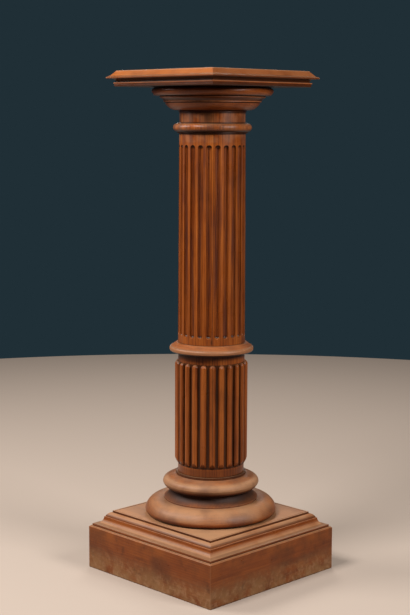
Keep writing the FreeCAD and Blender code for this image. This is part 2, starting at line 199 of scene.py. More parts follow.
# ---------------------------------------------------------------- materials
def add_node(tree, kind, inputs=None, **settings):
    """Adds one node; inputs hold plain values or other nodes' output sockets."""
    node = tree.nodes.new(kind)
    for name, value in settings.items():
        setattr(node, name, value)
    for name, value in (inputs or {}).items():
        if isinstance(value, bpy.types.NodeSocket):
            tree.links.new(value, node.inputs[name])
        else:
            node.inputs[name].default_value = value
    return node


def new_material(name):
    material = bpy.data.materials.new(name)
    material.use_nodes = True
    material.node_tree.nodes.clear()
    return material


def opaque(colour):
    return (*colour, 1.0)


class Wood:
    """One piece's wood: a solid pattern that its cut faces run through, under stain, worn patches, painted
    shade and painted sheen.
    """
    bump_strength = 0.35
    rubbed_size = 30 * MM       # of the patches that are polished more or less
    rubbed_range = 0.25         # how much their roughness differs
    dry_roughness = 0.35        # what dry wood adds to the roughness

    def __init__(self, name, grain, cut):
        """grain is the axis that the wood runs along; cut is where in the trunk it was sawn, in metres."""
        self.material = new_material(name)
        self.tree = self.material.node_tree
        self.place = self.add("ShaderNodeTexCoord").outputs["Object"]
        turned = self.add("ShaderNodeMapping", {
            "Vector": self.place, "Location": cut, "Rotation": GRAIN_TURNS[grain]})
        self.grain_place = turned.outputs["Vector"]
        self.colour = None
        self.relief = None
        self.dry = 0.0

    def add(self, kind, inputs=None, **settings):
        return add_node(self.tree, kind, inputs, **settings)

    def maths(self, operation, first, second=0.0, clamp=False):
        node = self.add("ShaderNodeMath", {0: first, 1: second}, operation=operation, use_clamp=clamp)
        return node.outputs[0]

    def times(self, *masks):
        """All of the masks at once."""
        product = masks[0]
        for mask in masks[1:]:
            product = self.maths("MULTIPLY", product, mask)
        return product

    def ramp(self, value, low, high):
        """0 below low and 1 above high, or the other way round where low is the larger."""
        node = self.add("ShaderNodeMapRange", {
            "Value": value, "From Min": low, "From Max": high}, interpolation_type="SMOOTHSTEP")
        return node.outputs["Result"]

    def band(self, value, low, high, edge):
        """1 between low and high, falling to 0 over edge below low and above high."""
        return self.times(self.ramp(value, low - edge, low), self.ramp(value, high + edge, high))

    def stretched(self, width, length):
        """Places for streaks of this width and length along the grain."""
        place = self.add("ShaderNodeMapping", {
            "Vector": self.grain_place, "Scale": (1 / width, 1 / width, 1 / length)}, vector_type="POINT")
        return place.outputs["Vector"]

    def noise(self, place, detail=2.0, scale=1.0):
        return self.add("ShaderNodeTexNoise", {
            "Vector": place, "Scale": scale, "Detail": detail, "Roughness": 0.55}).outputs["Fac"]

    def patches(self, size, low, high):
        """Soft irregular patches of this size, from 0 to 1."""
        return self.ramp(self.noise(self.place, detail=4.0, scale=1 / size), low, high)

    def cover(self, colour, mask, strength):
        """Lays another colour over the wood where the mask is 1."""
        amount = self.maths("MULTIPLY", mask, strength, clamp=True)
        node = self.add("ShaderNodeMix", {0: amount, 6: self.colour, 7: opaque(colour)}, data_type="RGBA")
        self.colour = node.outputs[2]

    def wear_and_sheen(self, colour, mask, strength):
        """Pale dry or dusty wood, also used as painted sheen and painted highlight; it takes the shine off
        too.
        """
        self.cover(colour, mask, strength)
        self.dull(self.maths("MULTIPLY", mask, strength, clamp=True))

    def dull(self, mask):
        """Takes the shine off without a change of colour."""
        self.dry = self.maths("MAXIMUM", self.dry, mask)

    # places on the piece
    def axes(self):
        return self.add("ShaderNodeSeparateXYZ", {0: self.place}).outputs

    def height(self):
        return self.axes()["Z"]

    def radius(self):
        """Distance from the column's axis."""
        level = self.add("ShaderNodeVectorMath", {0: self.place, 1: (1, 1, 0)}, operation="MULTIPLY")
        return self.add("ShaderNodeVectorMath", {0: level.outputs[0]}, operation="LENGTH").outputs["Value"]

    def level_distances(self):
        """Distances from the two middle planes of the stand."""
        plain = self.add("ShaderNodeVectorMath", {0: self.place}, operation="ABSOLUTE")
        return self.add("ShaderNodeSeparateXYZ", {0: plain.outputs[0]}).outputs

    def reach(self):
        """The same all along a square's edge, and largest at its sides."""
        distances = self.level_distances()
        return self.maths("MAXIMUM", distances["X"], distances["Y"])

    def near_corner(self, side, width):
        """1 at a square's four corners, falling to 0 over width."""
        distances = self.level_distances()
        nearest = self.maths("MINIMUM", distances["X"], distances["Y"])
        return self.ramp(nearest, side - width, side)

    def beside(self, azimuth):
        """Distance from the upright plane through the column's axis at this azimuth, and its cross plane."""
        distances = []
        for turn in (azimuth, azimuth + math.radians(90)):
            across = self.add("ShaderNodeVectorMath", {
                0: self.place, 1: (math.cos(turn), math.sin(turn), 0)}, operation="DOT_PRODUCT")
            distances.append(self.maths("ABSOLUTE", across.outputs["Value"]))
        return self.maths("MINIMUM", *distances)

    def spot(self, azimuth, radius, height, width, length):
        """1 at one place on the column, fading over an oval of this width and length."""
        place = turned_about_stand(azimuth, radius, height)
        moved = self.add("ShaderNodeVectorMath", {0: self.place, 1: place}, operation="SUBTRACT")
        scaled = self.add("ShaderNodeVectorMath", {
            0: moved.outputs[0], 1: (1 / width, 1 / width, 1 / length)}, operation="MULTIPLY")
        away = self.add("ShaderNodeVectorMath", {0: scaled.outputs[0]}, operation="LENGTH").outputs["Value"]
        return self.ramp(away, 1.0, 0.3)

    def facing(self, low, high):
        """From 0 to 1 as the surface turns from low to high, where 1 is straight up and -1 straight down."""
        normal = self.add("ShaderNodeNewGeometry").outputs["Normal"]
        return self.ramp(self.add("ShaderNodeSeparateXYZ", {0: normal}).outputs["Z"], low, high)

    # the wood itself
    def grow(self, light, middle, dark, ring_width, fibre_width, fibre_length, contrast):
        """Growth rings, slow figure and fine fibres; a Wave texture of scale 1 has rings 2 pi / 20 apart."""
        ring_place = self.add("ShaderNodeMapping", {"Vector": self.grain_place, "Scale": (1, 1, 0.1)})
        rings = self.add("ShaderNodeTexWave", {
            "Vector": ring_place.outputs["Vector"], "Scale": 2 * math.pi / (20 * ring_width),
            "Distortion": 7.0, "Detail": 2.0, "Detail Scale": 0.6},
            wave_type="RINGS", rings_direction="Z", wave_profile="SAW")
        late_wood = self.ramp(rings.outputs["Fac"], 0.45, 1.0)
        figure = self.noise(self.stretched(14 * fibre_width, 4 * fibre_length), detail=3.0)
        streaks = self.noise(self.stretched(fibre_width, fibre_length), detail=3.0)
        mixed = self.maths("ADD", self.maths("MULTIPLY", figure, 0.5), self.maths("MULTIPLY", streaks, 0.5))
        mixed = self.maths("SUBTRACT", mixed, self.maths("MULTIPLY", late_wood, 0.12))
        tone = self.maths("MULTIPLY", self.maths("SUBTRACT", mixed, 0.44), 4.0 * contrast)
        tone = self.maths("ADD", tone, 0.5, clamp=True)
        palette = self.add("ShaderNodeValToRGB", {"Fac": tone})
        stops = palette.color_ramp.elements
        stops[0].position, stops[0].color = 0.0, opaque(dark)
        stops[1].position, stops[1].color = 1.0, opaque(light)
        stops.new(0.5).color = opaque(middle)
        self.colour = palette.outputs["Color"]
        self.relief = self.maths("SUBTRACT", streaks, self.maths("MULTIPLY", late_wood, 0.3))

    def open_pores(self, colour, width, length, strength):
        """Short dark dashes along the grain."""
        pores = self.ramp(self.noise(self.stretched(width, length), detail=1.0), 0.66, 0.74)
        self.cover(colour, pores, strength)
        self.relief = self.maths("SUBTRACT", self.relief, pores)

    def finish(self, roughness, relief_depth):
        """The surface itself: open grain, an uneven polish, and none where the wood is dry."""
        bump = self.add("ShaderNodeBump", {
            "Height": self.relief, "Strength": self.bump_strength, "Distance": relief_depth})
        rubbed = self.noise(self.place, detail=3.0, scale=1 / self.rubbed_size)
        uneven = self.maths("MULTIPLY", self.maths("SUBTRACT", rubbed, 0.5), self.rubbed_range)
        duller = self.maths("MULTIPLY", self.dry, self.dry_roughness)
        shine = self.maths("ADD", self.maths("ADD", uneven, duller), roughness, clamp=True)
        shader = self.add("ShaderNodeBsdfPrincipled", {
            "Base Color": self.colour, "Roughness": shine, "IOR": 1.5, "Specular IOR Level": SHEEN,
            "Normal": bump.outputs["Normal"]})
        self.add("ShaderNodeOutputMaterial", {"Surface": shader.outputs["BSDF"]})
        return self.material


def walnut(name, grain, cut, contrast=0.45):
    """Black walnut under dark stain and wax: brown to orange-brown, fine dark pores, soft sheen."""
    settings = bpy.context.scene.pedestal_walnut
    wood = Wood(name, grain, cut)
    wood.grow(settings.light, settings.middle, settings.dark, settings.ring_width,
              settings.fibre_width, settings.fibre_length, contrast)
    wood.open_pores(settings.stain, settings.pore_width, settings.pore_length, 0.35)
    wood.cover(settings.dark, wood.patches(70 * MM, 0.5, 0.75), 0.45)
    return wood


def waxed(wood, dust_and_sheen=0.3, under=0.6):
    """Dusty wood and painted sheen on what looks up, and painted shade on the undersides."""
    settings = bpy.context.scene.pedestal_walnut
    # Dusty wood and painted sheen on faces that look up
    wood.wear_and_sheen(settings.worn, wood.times(wood.facing(0.3, 0.95), wood.patches(45 * MM, 0.1, 0.6)), dust_and_sheen)
    # Painted shade on the undersides
    wood.cover(settings.stain, wood.facing(-0.15, -0.8), under)
    return wood.finish(settings.roughness, 0.25 * MM)


def dress(node, material):
    """Puts one material on a node of the frame."""
    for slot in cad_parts[node].material_slots:
        slot.material = material


# ---------------------------------------------------------------- plinth
class PEDESTAL_OT_plinth_boards(bpy.types.Operator):
    """Dress the plinth's four mitred boards, worn along the floor and at the corners"""
    bl_idname = "pedestal.plinth_boards"
    bl_label = "Plinth Boards"
    bl_options = {"REGISTER", "UNDO"}

    def execute(self, context):
        settings = context.scene.pedestal_walnut
        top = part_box("plinth_board_front")[1].z
        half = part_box("plinth_board_right")[1].x
        for index, side in enumerate(SIDES):
            grain = "X" if side in ("front", "back") else "Y"
            cut = (0.11 + 0.05 * index, 0.09, 0.4 * index)
            wood = walnut("walnut plinth board " + side, grain, cut, contrast=0.32)
            # The polish is lightest towards the top and the corners, and gone in a band along the floor
            bright = wood.times(wood.ramp(wood.height(), 45 * MM, top), wood.patches(60 * MM, 0.35, 0.6))
            wood.cover(settings.light, bright, 0.5)
            wood.cover(settings.dark, wood.patches(55 * MM, 0.45, 0.7), 0.5)
            low = wood.ramp(wood.height(), 62 * MM, 4 * MM)
            wood.wear_and_sheen(settings.grey, wood.times(low, wood.patches(42 * MM, 0.25, 0.6)), 0.9)
            wood.wear_and_sheen(settings.worn, wood.times(low, wood.patches(9 * MM, 0.45, 0.7)), 0.45)
            wood.cover(settings.stain, wood.patches(22 * MM, 0.58, 0.75), 0.35)
            wood.wear_and_sheen(settings.worn, wood.near_corner(half, 2.5 * MM), 0.14)
            wood.wear_and_sheen(settings.worn, wood.ramp(wood.height(), top - 2.5 * MM, top), 0.4)
            wood.cover(settings.stain, wood.ramp(wood.height(), 2.5 * MM, 0.5 * MM), 0.6)
            dress("plinth_board_" + side, waxed(wood))
        return {"FINISHED"}


class PEDESTAL_OT_plinth_mouldings(bpy.types.Operator):
    """Dress the four mitred mouldings, darker at their foot, with a dark joint line at the panel and painted
    shade in the quirk and the cove
    """
    bl_idname = "pedestal.plinth_mouldings"
    bl_label = "Plinth Mouldings"
    bl_options = {"REGISTER", "UNDO"}

    def execute(self, context):
        settings = context.scene.pedestal_walnut
        low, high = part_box("plinth_moulding_front")
        panel_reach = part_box("plinth_panel")[1].x
        quirk = panel_reach + 4.8 * MM
        cove_foot, cove_head = low.z + 4.6 * MM, high.z - 11.5 * MM
        for index, side in enumerate(SIDES):
            grain = "X" if side in ("front", "back") else "Y"
            cut = (0.07, 0.12 + 0.04 * index, 0.3 * index)
            wood = walnut("walnut plinth moulding " + side, grain, cut)
            # Dusty wood and painted sheen on faces that look up
            dust_and_sheen = wood.times(wood.facing(0.2, 0.85), wood.patches(60 * MM, 0.1, 0.55))
            wood.wear_and_sheen(settings.worn, dust_and_sheen, 0.55)
            rims = wood.band(wood.reach(), panel_reach + 0.9 * MM, panel_reach + 3 * MM, 0.8 * MM)
            wood.wear_and_sheen(settings.worn, rims, 0.3)
            # A dark line in the joint at the panel's edge, and painted shade in the quirk
            for groove in (panel_reach, quirk):
                line = wood.band(wood.reach(), groove - 0.6 * MM, groove + 0.6 * MM, 0.7 * MM)
                wood.cover(settings.stain, line, 0.7)
            wood.cover(settings.stain, wood.ramp(wood.height(), low.z + 2.4 * MM, low.z + 0.4 * MM), 0.9)
            # Painted shade at the foot and the head of the cove
            wood.cover(settings.stain, wood.band(
                wood.height(), cove_foot, cove_foot + 1.6 * MM, 1.5 * MM), 0.45)
            wood.cover(settings.stain, wood.band(
                wood.height(), cove_head, cove_head + 2.5 * MM, 1.5 * MM), 0.4)
            dress("plinth_moulding_" + side, waxed(wood, 0.2))
        return {"FINISHED"}


class PEDESTAL_OT_plinth_panel(bpy.types.Operator):
    """Dress the panel between the mouldings: dusty, with painted light palest at the near corner and a
    painted shadow round the torus's foot
    """
    bl_idname = "pedestal.plinth_panel"
    bl_label = "Plinth Panel"
    bl_options = {"REGISTER", "UNDO"}

    def execute(self, context):
        settings = context.scene.pedestal_walnut
        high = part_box("plinth_panel")[1]
        torus_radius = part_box("lower_torus")[1].x
        wood = walnut("walnut plinth panel", "X", (0.16, 0.05, 0.0))
        # Dusty wood and painted sheen on the face
        wood.wear_and_sheen(settings.worn, wood.times(wood.facing(0.5, 0.9), wood.patches(90 * MM, 0.05, 0.45)), 0.6)
        # Dusty wood and painted light, palest at the near corner
        corner = wood.spot(PLINTH_CORNERS[0], 180 * MM, high.z, 110 * MM, 110 * MM)
        wood.wear_and_sheen(settings.worn, wood.times(wood.facing(0.5, 0.9), corner), 0.45)
        wood.cover(settings.plum, wood.patches(60 * MM, 0.5, 0.75), 0.25)
        wood.cover(settings.stain, wood.ramp(wood.reach(), high.x - 1.4 * MM, high.x - 0.2 * MM), 0.7)
        # Painted shadow round the foot of the lower torus
        wood.cover(settings.stain, wood.ramp(
            wood.radius(), torus_radius - 4 * MM, torus_radius - 12 * MM), 0.8)
        dress("plinth_panel", waxed(wood, 0.0))
        return {"FINISHED"}


# ---------------------------------------------------------------- turned base
class PEDESTAL_OT_lower_torus(bpy.types.Operator):
    """Dress the lower cushion ring, turned from a plank that lies flat"""
    bl_idname = "pedestal.lower_torus"
    bl_label = "Lower Torus"
    bl_options = {"REGISTER", "UNDO"}

    def execute(self, context):
        settings = context.scene.pedestal_walnut
        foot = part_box("lower_torus")[0].z
        scotia_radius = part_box("scotia")[1].x
        wood = walnut("walnut lower torus", "X", (0.05, 0.08, 0.2), contrast=0.4)
        # Worn wood and painted highlight, palest towards the plinth's near and far corners
        worn_and_lit_spots = wood.maths("MAXIMUM", *[
            wood.spot(azimuth, 140 * MM, foot + 12 * MM, 230 * MM, 230 * MM) for azimuth in PLINTH_CORNERS])
        above_foot = wood.ramp(wood.height(), foot + 5 * MM, foot + 18 * MM)
        wood.wear_and_sheen(settings.worn, wood.times(above_foot, wood.patches(110 * MM, 0.1, 0.5), worn_and_lit_spots), 0.5)
        wood.cover(settings.plum, wood.patches(80 * MM, 0.45, 0.65), 0.5)
        # Painted shade at the foot and in the corner at the scotia's foot
        wood.cover(settings.stain, wood.ramp(wood.height(), foot + 6 * MM, foot + 1 * MM), 0.8)
        wood.cover(settings.stain, wood.ramp(
            wood.radius(), scotia_radius + 3.2 * MM, scotia_radius + 0.7 * MM), 0.6)
        dress("lower_torus", waxed(wood, 0.35))
        return {"FINISHED"}


class PEDESTAL_OT_scotia(bpy.types.Operator):
    """Dress the hollow ring, with painted shade under the upper torus"""
    bl_idname = "pedestal.scotia"
    bl_label = "Scotia"
    bl_options = {"REGISTER", "UNDO"}

    def execute(self, context):
        settings = context.scene.pedestal_walnut
        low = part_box("scotia")[0].z
        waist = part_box("upper_torus")[0].z
        wood = walnut("walnut scotia", "Y", (0.09, 0.1, 0.5), contrast=0.4)
        wood.cover(settings.plum, wood.patches(50 * MM, 0.3, 0.6), 0.6)
        # Painted shade in the upper part of the hollow, under the upper torus
        wood.cover(settings.stain, wood.ramp(wood.height(), low - 2 * MM, waist - 10 * MM), 0.85)
        # Painted highlight along the fillet at the foot
        wood.wear_and_sheen(settings.worn, wood.band(wood.height(), low + 1.6 * MM, low + 2.6 * MM, 0.6 * MM), 0.2)
        # A dull film of old wax keeps the hollow from shining
        wood.dull(0.8)
        dress("scotia", waxed(wood, 0.1))
        return {"FINISHED"}


class PEDESTAL_OT_upper_torus(bpy.types.Operator):
    """Dress the upper cushion ring, pale round its nose with worn wood and painted highlight"""
    bl_idname = "pedestal.upper_torus"
    bl_label = "Upper Torus"
    bl_options = {"REGISTER", "UNDO"}

    def execute(self, context):
        settings = context.scene.pedestal_walnut
        low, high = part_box("upper_torus")
        nose = low.z + 15 * MM
        wood = walnut("walnut upper torus", "X", (0.12, 0.03, 0.7), contrast=0.4)
        # Worn wood and painted highlight round the nose
        worn_and_lit_nose = wood.band(wood.height(), nose - 4 * MM, nose + 9 * MM, 6 * MM)
        wood.wear_and_sheen(settings.worn, wood.times(worn_and_lit_nose, wood.patches(80 * MM, 0.15, 0.5)), 0.62)
        wood.cover(settings.plum, wood.patches(60 * MM, 0.42, 0.62), 0.5)
        # Painted shade under the nose and in the crease at the foot ring
        wood.cover(settings.stain, wood.ramp(wood.height(), low.z + 7 * MM, low.z + 2 * MM), 0.8)
        wood.cover(settings.stain, wood.band(wood.radius(), 76.5 * MM, 78.4 * MM, 1 * MM), 0.6)
        wood.cover(settings.stain, wood.ramp(wood.height(), high.z - 1 * MM, high.z), 0.7)
        dress("upper_torus", waxed(wood, 0.3))
        return {"FINISHED"}


# ---------------------------------------------------------------- column
class PEDESTAL_OT_reeded_drum(bpy.types.Operator):
    """Dress the reeded drum's four quarters, with painted shade between the reeds"""
    bl_idname = "pedestal.reeded_drum"
    bl_label = "Reeded Drum"
    bl_options = {"REGISTER", "UNDO"}

    def execute(self, context):
        settings = context.scene.pedestal_walnut
        low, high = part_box("reeded_drum_quarter_1")
        reeds_foot, reeds_head = low.z + 19 * MM, high.z - 22 * MM
        for index in QUARTERS:
            cut = (0.05 * index, 0.12 - 0.03 * index, 0.2 * index)
            wood = walnut("walnut reeded quarter %d" % index, "Z", cut, contrast=0.6)
            reeds = wood.band(wood.height(), reeds_foot, reeds_head, 1.5 * MM)
            # Painted shade between the reeds
            groove = wood.ramp(wood.radius(), DRUM_RADIUS + 4.6 * MM, DRUM_RADIUS + 1.2 * MM)
            wood.cover(settings.stain, wood.times(groove, reeds), 0.78)
            # Painted highlight on the reeds' crowns
            lit_crown = wood.ramp(wood.radius(), DRUM_RADIUS + REED_RADIUS - 1.5 * MM, DRUM_RADIUS + REED_RADIUS)
            wood.cover(settings.light, wood.times(lit_crown, wood.patches(40 * MM, 0.25, 0.6)), 0.35)
            # Painted shade below the reeds' feet, darker at the very foot, and a painted shadow under the
            # middle ring
            wood.cover(settings.dark, wood.ramp(wood.height(), reeds_foot, reeds_foot - 6 * MM), 0.45)
            wood.cover(settings.stain, wood.ramp(wood.height(), low.z + 2 * MM, low.z + 0.3 * MM), 0.75)
            wood.cover(settings.stain, wood.ramp(wood.height(), high.z - 14 * MM, high.z - 4 * MM), 0.75)
            wood.cover(settings.stain, wood.ramp(wood.beside(SEAM_AZIMUTH), 0.9 * MM, 0.4 * MM), 0.5)
            dress("reeded_drum_quarter_%d" % index, waxed(wood))
        return {"FINISHED"}


class PEDESTAL_OT_middle_ring(bpy.types.Operator):
    """Dress the ring between the drums, pale round its nose with worn wood and painted highlight"""
    bl_idname = "pedestal.middle_ring"
    bl_label = "Middle Ring"
    bl_options = {"REGISTER", "UNDO"}

    def execute(self, context):
        settings = context.scene.pedestal_walnut
        low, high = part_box("middle_ring")
        nose_top = low.z + 11 * MM
        wood = walnut("walnut middle ring", "X", (0.06, 0.14, 0.9), contrast=0.35)
        # Worn wood and painted highlight on the nose
        wood.wear_and_sheen(settings.worn, wood.band(wood.height(), low.z + 4 * MM, nose_top, 2 * MM), 0.38)
        wood.cover(settings.stain, wood.band(wood.height(), nose_top, nose_top + 0.4 * MM, 0.5 * MM), 0.45)
        wood.cover(settings.stain, wood.ramp(wood.height(), high.z - 0.9 * MM, high.z - 0.2 * MM), 0.6)
        # Painted shade on the nose's underside
        wood.cover(settings.stain, wood.ramp(wood.height(), low.z + 3.5 * MM, low.z + 1.5 * MM), 0.85)
        dress("middle_ring", waxed(wood, 0.2, 0.8))
        return {"FINISHED"}


class PEDESTAL_OT_fluted_shaft(bpy.types.Operator):
    """Dress the fluted shaft's four quarters, with painted shade in the flutes and round the astragal"""
    bl_idname = "pedestal.fluted_shaft"
    bl_label = "Fluted Shaft"
    bl_options = {"REGISTER", "UNDO"}

    def execute(self, context):
        settings = context.scene.pedestal_walnut
        low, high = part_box("fluted_shaft_quarter_1")
        flutes_low, flutes_high = low.z + 15 * MM, high.z - 68.5 * MM
        astragal_low, astragal_high = high.z - 41 * MM, high.z - 23 * MM
        for index in QUARTERS:
            cut = (0.13 - 0.02 * index, 0.06 * index, 0.35 * index)
            wood = walnut("walnut fluted quarter %d" % index, "Z", cut, contrast=0.6)
            # Painted shade in the flutes
            flute_shade = wood.ramp(wood.radius(), SHAFT_RADIUS - 2.2 * MM, SHAFT_RADIUS - 5 * MM)
            wood.cover(settings.dark, flute_shade, 0.12)
            # Long purplish streaks run down some staves
            streaks = wood.ramp(wood.noise(wood.stretched(13 * MM, 210 * MM), detail=3.0), 0.5, 0.66)
            wood.cover(settings.plum, streaks, 0.5)
            # Painted light on the fillets and arrises between the flutes
            lit_edges = wood.times(
                wood.ramp(wood.radius(), SHAFT_RADIUS - 3.2 * MM, SHAFT_RADIUS - 1.6 * MM),
                wood.ramp(wood.height(), flutes_high + 8 * MM, flutes_high))
            wood.cover(settings.light, wood.times(lit_edges, wood.patches(40 * MM, 0.3, 0.6)), 0.25)
            # Painted shade in the flutes' heads and feet
            shaded_ends = wood.maths(
                "MAXIMUM", wood.ramp(wood.height(), flutes_high - 9 * MM, flutes_high - 2 * MM),
                wood.ramp(wood.height(), flutes_low + 9 * MM, flutes_low + 3 * MM))
            shaded_ends = wood.times(shaded_ends, wood.ramp(wood.height(), flutes_high + 2 * MM, flutes_high))
            wood.cover(settings.stain, wood.times(shaded_ends, wood.ramp(
                wood.radius(), SHAFT_RADIUS - 1.5 * MM, SHAFT_RADIUS - 4 * MM)), 0.8)
            necking = wood.ramp(wood.height(), astragal_high, astragal_high + 2 * MM)
            plain = wood.ramp(wood.height(), flutes_high + 3 * MM, flutes_high + 8 * MM)
            wood.wear_and_sheen(settings.worn, wood.times(plain, wood.patches(30 * MM, 0.35, 0.6)), 0.14)
            wood.cover(settings.dark, wood.times(necking, wood.patches(38 * MM, 0.4, 0.6)), 0.5)
            # Painted shade under and above the astragal
            wood.cover(settings.stain, wood.band(
                wood.height(), astragal_low - 4 * MM, astragal_low + 1 * MM, 2.5 * MM), 0.85)
            wood.cover(settings.stain, wood.band(
                wood.height(), astragal_high - 0.5 * MM, astragal_high + 2 * MM, 1.2 * MM), 0.7)
            wood.cover(settings.stain, wood.ramp(wood.height(), high.z - 3 * MM, high.z - 0.5 * MM), 0.7)
            wood.cover(settings.stain, wood.ramp(wood.height(), low.z + 1.6 * MM, low.z + 0.3 * MM), 0.6)
            wood.cover(settings.stain, wood.ramp(wood.beside(SEAM_AZIMUTH), 0.8 * MM, 0.3 * MM), 0.5)
            # A knot at the foot, and a painted shadow of the top board's corner on the necking. A knot
            # at the foot, and a dark patch on the necking that may be a shadow in the photograph
            knot = wood.spot(SEAM_AZIMUTH - math.radians(2), SHAFT_RADIUS, low.z + 8 * MM, 3 * MM, 8 * MM)
            corner_shadow = wood.spot(
                SEAM_AZIMUTH - math.radians(8), SHAFT_RADIUS, high.z - 10 * MM, 16 * MM, 20 * MM)
            wood.cover(settings.stain, wood.maths("MAXIMUM", knot, corner_shadow), 0.6)
            dress("fluted_shaft_quarter_%d" % index, waxed(wood, 0.15))
        return {"FINISHED"}


# ---------------------------------------------------------------- capital and top
class PEDESTAL_OT_capital(bpy.types.Operator):
    """Dress the turned capital, with painted shade in the grooves beside its beads"""
    bl_idname = "pedestal.capital"
    bl_label = "Capital"
    bl_options = {"REGISTER", "UNDO"}

    def execute(self, context):
        settings = context.scene.pedestal_walnut
        low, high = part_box("capital")
        echinus_high = low.z + 20.2 * MM
        lower_bead_high = echinus_high + 3.9 * MM
        upper_bead_low = lower_bead_high + 7.2 * MM
        upper_bead_high = upper_bead_low + 2.6 * MM
        wood = walnut("walnut capital", "X", (0.1, 0.07, 1.1), contrast=0.4)
        # Painted shade in the grooves
        grooves = (
            (low.z, low.z + 4.6 * MM),
            (echinus_high - 0.3 * MM, echinus_high + 1.4 * MM),
            (lower_bead_high + 0.2 * MM, upper_bead_low - 1.5 * MM),
            (upper_bead_high, upper_bead_high + 1.8 * MM))
        for foot, head in grooves:
            wood.cover(settings.stain, wood.band(wood.height(), foot, head, 0.7 * MM), 0.7)
        # Worn wood and painted highlight on the beads
        beads = wood.maths(
            "MAXIMUM",
            wood.band(wood.height(), echinus_high + 2.4 * MM, lower_bead_high - 0.8 * MM, 0.6 * MM),
            wood.band(wood.height(), upper_bead_low + 0.8 * MM, upper_bead_high - 0.8 * MM, 0.6 * MM))
        wood.wear_and_sheen(settings.worn, beads, 0.22)
        # Painted shadow of the top board on the capital's upper part
        wood.cover(settings.stain, wood.ramp(wood.height(), high.z - 9 * MM, high.z - 2 * MM), 0.85)
        dress("capital", waxed(wood, 0.1, 0.0))
        return {"FINISHED"}


class PEDESTAL_OT_top(bpy.types.Operator):
    """Dress the moulded top board and the thinner board under it"""
    bl_idname = "pedestal.top"
    bl_label = "Top"
    bl_options = {"REGISTER", "UNDO"}

    def execute(self, context):
        settings = context.scene.pedestal_walnut
        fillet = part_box("top_under_board")[1].z - 2 * MM
        under = walnut("walnut under-board", "X", (0.08, 0.15, 1.3))
        # Painted highlight along the top edge, and painted shade below the fillet
        under.cover(settings.dark, under.ramp(under.height(), fillet, fillet - 1 * MM), 0.35)
        under.wear_and_sheen(settings.worn, under.ramp(under.height(), fillet + 0.4 * MM, fillet + 1.6 * MM), 0.35)
        under.cover(settings.stain, under.ramp(under.height(), fillet - 0.4 * MM, fillet - 1.4 * MM), 0.7)
        dress("top_under_board", waxed(under, 0.1))
        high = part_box("top_board")[1]
        wood = walnut("walnut top board", "X", (0.2, 0.03, 1.5))
        # Painted light on the rim's front and back faces, and painted shade on its left and right faces
        shaded_ends = wood.maths("GREATER_THAN", wood.level_distances()["X"], wood.level_distances()["Y"])
        lit_edges = wood.ramp(wood.reach(), high.x - 18 * MM, high.x - 14 * MM)
        wood.cover(settings.light, wood.times(lit_edges, wood.patches(50 * MM, 0.2, 0.6)), 0.7)
        wood.cover(settings.dark, wood.times(lit_edges, shaded_ends), 0.45)
        wood.wear_and_sheen(settings.worn, wood.ramp(wood.height(), high.z - 2.2 * MM, high.z - 0.6 * MM), 0.3)
        # Painted shade on the nose and the cove under it
        wood.cover(settings.dark, wood.ramp(wood.height(), high.z - 10 * MM, high.z - 11.5 * MM), 0.6)
        wood.cover(settings.stain, wood.ramp(wood.height(), high.z - 16 * MM, high.z - 19 * MM), 0.5)
        wood.wear_and_sheen(settings.worn, wood.near_corner(high.x, 4 * MM), 0.3)
        # The flat upper face, unseen in the photograph, is taken as dulled by what stood on it
        wood.dull(wood.facing(0.9, 0.99))
        dress("top_board", waxed(wood, 0.2, 0.3))
        return {"FINISHED"}


# ---------------------------------------------------------------- hidden joinery
class PEDESTAL_OT_hidden_wood(bpy.types.Operator):
    """Dress the glue blocks and the loose tenons in unstained beech"""
    bl_idname = "pedestal.hidden_wood"
    bl_label = "Blocks and Tenons"
    bl_options = {"REGISTER", "UNDO"}

    def execute(self, context):
        settings = context.scene.pedestal_hidden
        walnut_settings = context.scene.pedestal_walnut
        # Beech, planed and left bare: pale, even, with fine straight rings and no polish
        wood = Wood("bare planed beech", "Z", (0.1, 0.15, 0.0))
        middle = [(a + b) / 2 for a, b in zip(settings.plain_light, settings.plain_dark)]
        wood.grow(settings.plain_light, middle, settings.plain_dark, 3 * MM,
                  walnut_settings.fibre_width, walnut_settings.fibre_length, 0.8)
        beech = wood.finish(0.7, 0.15 * MM)
        for corner in CORNERS:
            dress("plinth_corner_block_" + corner, beech)
        for place in ("foot", "middle", "capital"):
            dress(place + "_tenon", beech)
        return {"FINISHED"}


class PEDESTAL_OT_screws(bpy.types.Operator):
    """Dress the two groups of wood screws in dull steel"""
    bl_idname = "pedestal.screws"
    bl_label = "Screws"
    bl_options = {"REGISTER", "UNDO"}

    def execute(self, context):
        settings = context.scene.pedestal_hidden
        # Drawn steel wire, turned and slotted: grey, slightly mottled, a dull shine
        material = new_material("dull bright steel")
        tree = material.node_tree
        place = add_node(tree, "ShaderNodeTexCoord").outputs["Object"]
        mottle = add_node(tree, "ShaderNodeTexNoise", {"Vector": place, "Scale": 1 / (2 * MM), "Detail": 3.0})
        tint = add_node(tree, "ShaderNodeValToRGB", {"Fac": mottle.outputs["Fac"]})
        tint.color_ramp.elements[0].color = opaque([0.7 * c for c in settings.steel])
        tint.color_ramp.elements[1].color = opaque(settings.steel)
        shader = add_node(tree, "ShaderNodeBsdfPrincipled", {
            "Base Color": tint.outputs["Color"], "Metallic": 1.0, "Roughness": settings.steel_roughness})
        add_node(tree, "ShaderNodeOutputMaterial", {"Surface": shader.outputs["BSDF"]})
        dress("base_screws", material)
        dress("top_screws", material)
        return {"FINISHED"}


# ---------------------------------------------------------------- stage
def turned_about_stand(azimuth, distance, height):
    """A point at this azimuth from the stand's front towards its right-hand side."""
    return Vector((distance * math.sin(azimuth), -distance * math.cos(azimuth), height))


